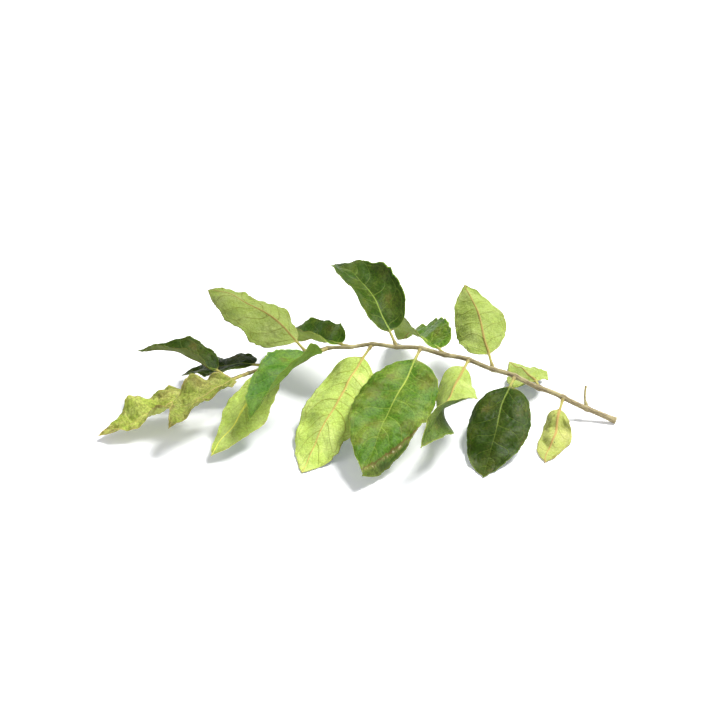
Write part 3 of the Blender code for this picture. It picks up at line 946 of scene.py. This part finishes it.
def frame_rings(points, radii, ring_points, ridges):
    """Round rings around a line, with a few shallow ridges along it, and their place on the bark."""
    points = np.array(points)
    forward = unit(np.gradient(points, axis=0))
    side = unit(np.cross([0.0, 0.0, 1.0], forward))
    up = np.cross(forward, side)
    angle = np.linspace(0.0, 2.0 * math.pi, ring_points, endpoint=False)
    length = np.concatenate([[0.0], np.cumsum(np.linalg.norm(np.diff(points, axis=0), axis=1))])
    sway = RIDGE_SWAY * length[:, None]
    ridge = np.sin(5.0 * angle + sway) + 0.6 * np.sin(8.0 * angle - 1.7 * sway)
    radius = np.array(radii)[:, None] * (1.0 + ridges * ridge)
    rings = points[:, None] + radius[..., None] * (
        np.cos(angle)[:, None] * side[:, None] + np.sin(angle)[:, None] * up[:, None]
    )
    return rings, np.stack(np.broadcast_arrays(length[:, None] / MM, angle, 1.0), -1)


CUT_FACE = (0.02, 0.25, 0.5, 0.75, 0.9, 0.98)


def with_cut_face(rings, place):
    """Adds flat rings inside the first one, for the pattern of the cut."""
    middle = rings[0].mean(0)
    face = [middle + share * (rings[0] - middle) for share in CUT_FACE]
    notes = np.repeat(place[:1], len(CUT_FACE), axis=0)
    notes[..., 2] = np.array(CUT_FACE)[:, None]
    return np.concatenate([face, rings]), np.concatenate([notes, place])


# %% The finish of the stalk
BARK_BROWN, BARK_STRAW, PORE = (0.12, 0.085, 0.045), (0.48, 0.42, 0.21), (0.5, 0.42, 0.24)
PITH, WOOD, RIM = (0.33, 0.27, 0.13), (0.6, 0.56, 0.27), (0.3, 0.27, 0.1)


def stalk_finish(name, at_base, at_tip, length):
    """Bark that drifts from one colour to another over a length in millimetres, and its cut face."""
    finish = Finish(name)
    place, along, _, cut = finish.note("stalk_place")
    streaks = finish.noise(place, 1.0, 4.0, 0.6, stretch=(0.25, 2.2, 1.0))
    patches = finish.noise(place, 0.14, 3.0, stretch=(1.0, 0.6, 1.0))
    pores = finish.cells(place, 0.8, "F1").smooth(0.04, 0.13, 0.45, 0.0)
    face = finish.layers(PITH, (cut.smooth(0.25, 0.5), WOOD), (cut.smooth(0.8, 0.97), RIM))
    colour = finish.layers(
        at_base,
        (along.smooth(0.0, length), at_tip),
        (streaks.smooth(0.35, 0.62, 0.0, 0.75), BARK_BROWN),
        (patches.smooth(0.5, 0.68, 0.0, 0.6), BARK_STRAW),
        (pores, PORE),
        (1.0 - cut.smooth(0.97, 1.0), face),
    )
    bump = finish.bump(streaks * 0.12 + pores * 0.05)
    rough = 0.55 + streaks * 0.2
    return finish.surface(Base_Color=colour, Roughness=rough, Normal=bump, Specular_IOR_Level=0.4)


# %% Build the leaf stalk
NODE_SWELLING = 0.32
NODE_REACH = 0.9 * MM
RACHIS_RINGS = 520


def swollen_radius(share):
    """The rachis thickens where each leaflet's stalk leaves it."""
    swelling = 0.0
    for piece in (*LEAFLETS, BARE_STALK):
        away = (share - piece.at) * RACHIS_SPAN_X / NODE_REACH
        swelling += NODE_SWELLING * math.exp(-away * away)
    return rachis_radius(share) * (1.0 + swelling)


shares = np.linspace(0.0, 1.0, RACHIS_RINGS)
line = [rachis_point(share) for share in shares]
radii = [swollen_radius(share) for share in shares]
rings, place = with_cut_face(*frame_rings(line, radii, ring_points=28, ridges=0.045))
bark = stalk_finish("rachis_bark", at_base=(0.36, 0.3, 0.15), at_tip=(0.24, 0.23, 0.08), length=150.0)
rachis = skin("rachis_stem", rings, {"stalk_place": place}, [bark])
print("rachis:", len(rachis.data.polygons), "faces,", round(2 * radii[0] / MM, 2), "mm thick at its cut")

# %% [markdown]
# One leaflet has dropped off near the cut. It left its own stalk, which hooks upward and ends in a
# small round scar.

# %% Build the bare stalk
BARE_STALK_LENGTH = 6.5 * MM
BARE_STALK_HOOK = 1.8 * MM
BARE_STALK_WAIST = 0.9
BARE_STALK_RINGS = 60


def bare_stalk_line():
    """Points and radii from the scar at the free end back into the rachis."""
    start, turn, distance = joint(BARE_STALK)
    points, radii = [], []
    for share in np.linspace(1.0, -REACH_INSIDE * distance / BARE_STALK_LENGTH, BARE_STALK_RINGS):
        out, length = max(share, 0.0), BARE_STALK_LENGTH * share
        hook = BARE_STALK_HOOK * out**2
        points.append(start + turn.to_matrix() @ Vector((length, -0.6 * hook, hook)))
        radii.append(stalk_half_width(length) * (1.0 - BARE_STALK_WAIST * out * (1.0 - out)))
    return points, radii


rings, place = with_cut_face(*frame_rings(*bare_stalk_line(), ring_points=20, ridges=0.05))
bark = stalk_finish("bare_stalk_bark", at_base=(0.42, 0.36, 0.14), at_tip=(0.4, 0.36, 0.14), length=8.0)
bare_stalk = skin("bare_leaflet_stalk_stub", rings, {"stalk_place": place}, [bark])
print("bare stalk:", len(bare_stalk.data.polygons), "faces")

# %% Build the leaflets
blades = {}
for leaf in LEAFLETS:
    rings, notes, sides = leaflet_rings(leaf)
    finishes = [upper_side(leaf), underside(leaf)]
    blades[leaf.name] = skin(leaf.name + "_blade", rings, notes, finishes, sides)
faces = sum(len(blade.data.polygons) for blade in blades.values())
print("leaflets:", len(blades), "with", faces, "faces")

# %% [markdown]
# ## One rigid sprig
#
# Nothing on the sprig is hinged, so every piece rides on the one body. Each stands for its own
# solid, which it hides, and is measured against that solid's box.

# %% Ride, replace and compare
def place_piece(piece, node):
    """Returns how far the piece stands out of its solid's box, in millimetres."""
    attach(piece, "root")
    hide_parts(node)
    low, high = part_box(node)
    corners = np.array(piece.bound_box)
    off = np.maximum(np.array(low) - corners.min(0), corners.max(0) - np.array(high)).max()
    return round(1000 * float(off), 2)


stands_out = {"rachis": place_piece(rachis, "rachis")}
stands_out["bare_leaflet_stalk"] = place_piece(bare_stalk, "bare_leaflet_stalk")
for leaf in LEAFLETS:
    stands_out[leaf.name] = place_piece(blades[leaf.name], leaf.name)
print("millimetres outside the solid's own box:", stands_out)

# %% [markdown]
# ## Floor, light and camera
#
# The sprig lies on white paper. A large soft light from above, on the right and a little behind,
# gives the shapes their shading, and a weaker one from the left and a pale sky open the shadows.
# Two lamps cannot light a wide floor evenly, so the paper glows: faintly near the sprig, which keeps
# the shadows light, and as bright as white where the lamps no longer reach. The sky is white to the
# camera but dimmer as a light, so that a camera close to the floor sees a plain background too.

# %% Floor
FLOOR_WIDTH = 120.0
GLOW_NEAR, GLOW_FAR = (0.18, 0.19, 0.225), (1.0, 1.0, 1.0)
bpy.ops.mesh.primitive_plane_add(size=FLOOR_WIDTH)
floor = bpy.context.object
floor.name = "floor"
paper = Finish("white_paper")
position = paper.node("ShaderNodeTexCoord", {}, {}, "Object")
away = paper.vector("LENGTH", {0: position}, "Value")
glow = paper.mix(away.smooth(0.4, 1.2), GLOW_NEAR, GLOW_FAR)
floor.data.materials.append(paper.surface(
    Base_Color=(0.9, 0.9, 0.9), Roughness=0.9, Specular_IOR_Level=0.1,
    Emission_Color=glow, Emission_Strength=1.0,
))
floor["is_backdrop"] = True
print("floor:", round(FLOOR_WIDTH), "m wide")

# %% Lights
low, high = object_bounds()
middle = (low + high) / 2


def soft_light(name, from_middle, size, watts):
    """A round lamp that shines on the middle of the sprig."""
    lamp = bpy.data.lights.new(name, "AREA")
    lamp.shape = "DISK"
    lamp.size = size
    lamp.energy = watts
    light = put_in_scene(name, lamp)
    light.location = middle + Vector(from_middle)
    light.rotation_euler = (middle - light.location).to_track_quat("-Z", "Y").to_euler()
    print(name, "light:", watts, "W,", round(Vector(from_middle).length, 2), "m away")


soft_light("key", (0.62, 0.22, 1.20), size=0.6, watts=36.0)
soft_light("fill", (-1.1, -0.6, 0.9), size=1.2, watts=5.0)

# %% Sky
SKY_AS_LIGHT, SKY_AS_SEEN = 0.3, 1.0
sky = Graph(bpy.data.worlds.new("pale_sky"))
sky.nodes.remove(sky.nodes["Background"])
as_light, as_seen = (
    sky.node("ShaderNodeBackground", {}, {"Color": (1.0, 1.0, 1.0), "Strength": strength})
    for strength in (SKY_AS_LIGHT, SKY_AS_SEEN)
)
seen = sky.node("ShaderNodeLightPath", {}, {}, "Is Camera Ray")
either = sky.node("ShaderNodeMixShader", {}, {0: seen, 1: as_light, 2: as_seen})
sky.feed(sky.nodes["World Output"].inputs["Surface"], either)
bpy.context.scene.world = sky.owner
bpy.context.scene.view_settings.view_transform = "Standard"
print("sky:", SKY_AS_LIGHT, "as a light,", SKY_AS_SEEN, "as seen")

# %% Camera
CAMERA_DISTANCE = 0.51
LOOKING_DOWN = 32.0
lens = bpy.data.cameras.new("camera")
lens.lens = 70.0
lens.clip_start = 0.01
camera = put_in_scene("camera", lens)
down = math.radians(LOOKING_DOWN)
back = Vector((0.0, -math.cos(down), math.sin(down)))
camera.location = middle + back * CAMERA_DISTANCE
camera.rotation_euler = (-back).to_track_quat("-Z", "Y").to_euler()
bpy.context.scene.camera = camera
print("camera:", CAMERA_DISTANCE, "m away, looking down by", LOOKING_DOWN, "degrees")

# %% Print the two boxes and finish
visual_low, visual_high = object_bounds()
sizes = {
    "solids": [list(solid_low), list(solid_high)],
    "visual": [list(visual_low), list(visual_high)],
}
for name, box in sizes.items():
    print(name, "box:", [[round(part / MM, 1) for part in corner] for corner in box], "mm")
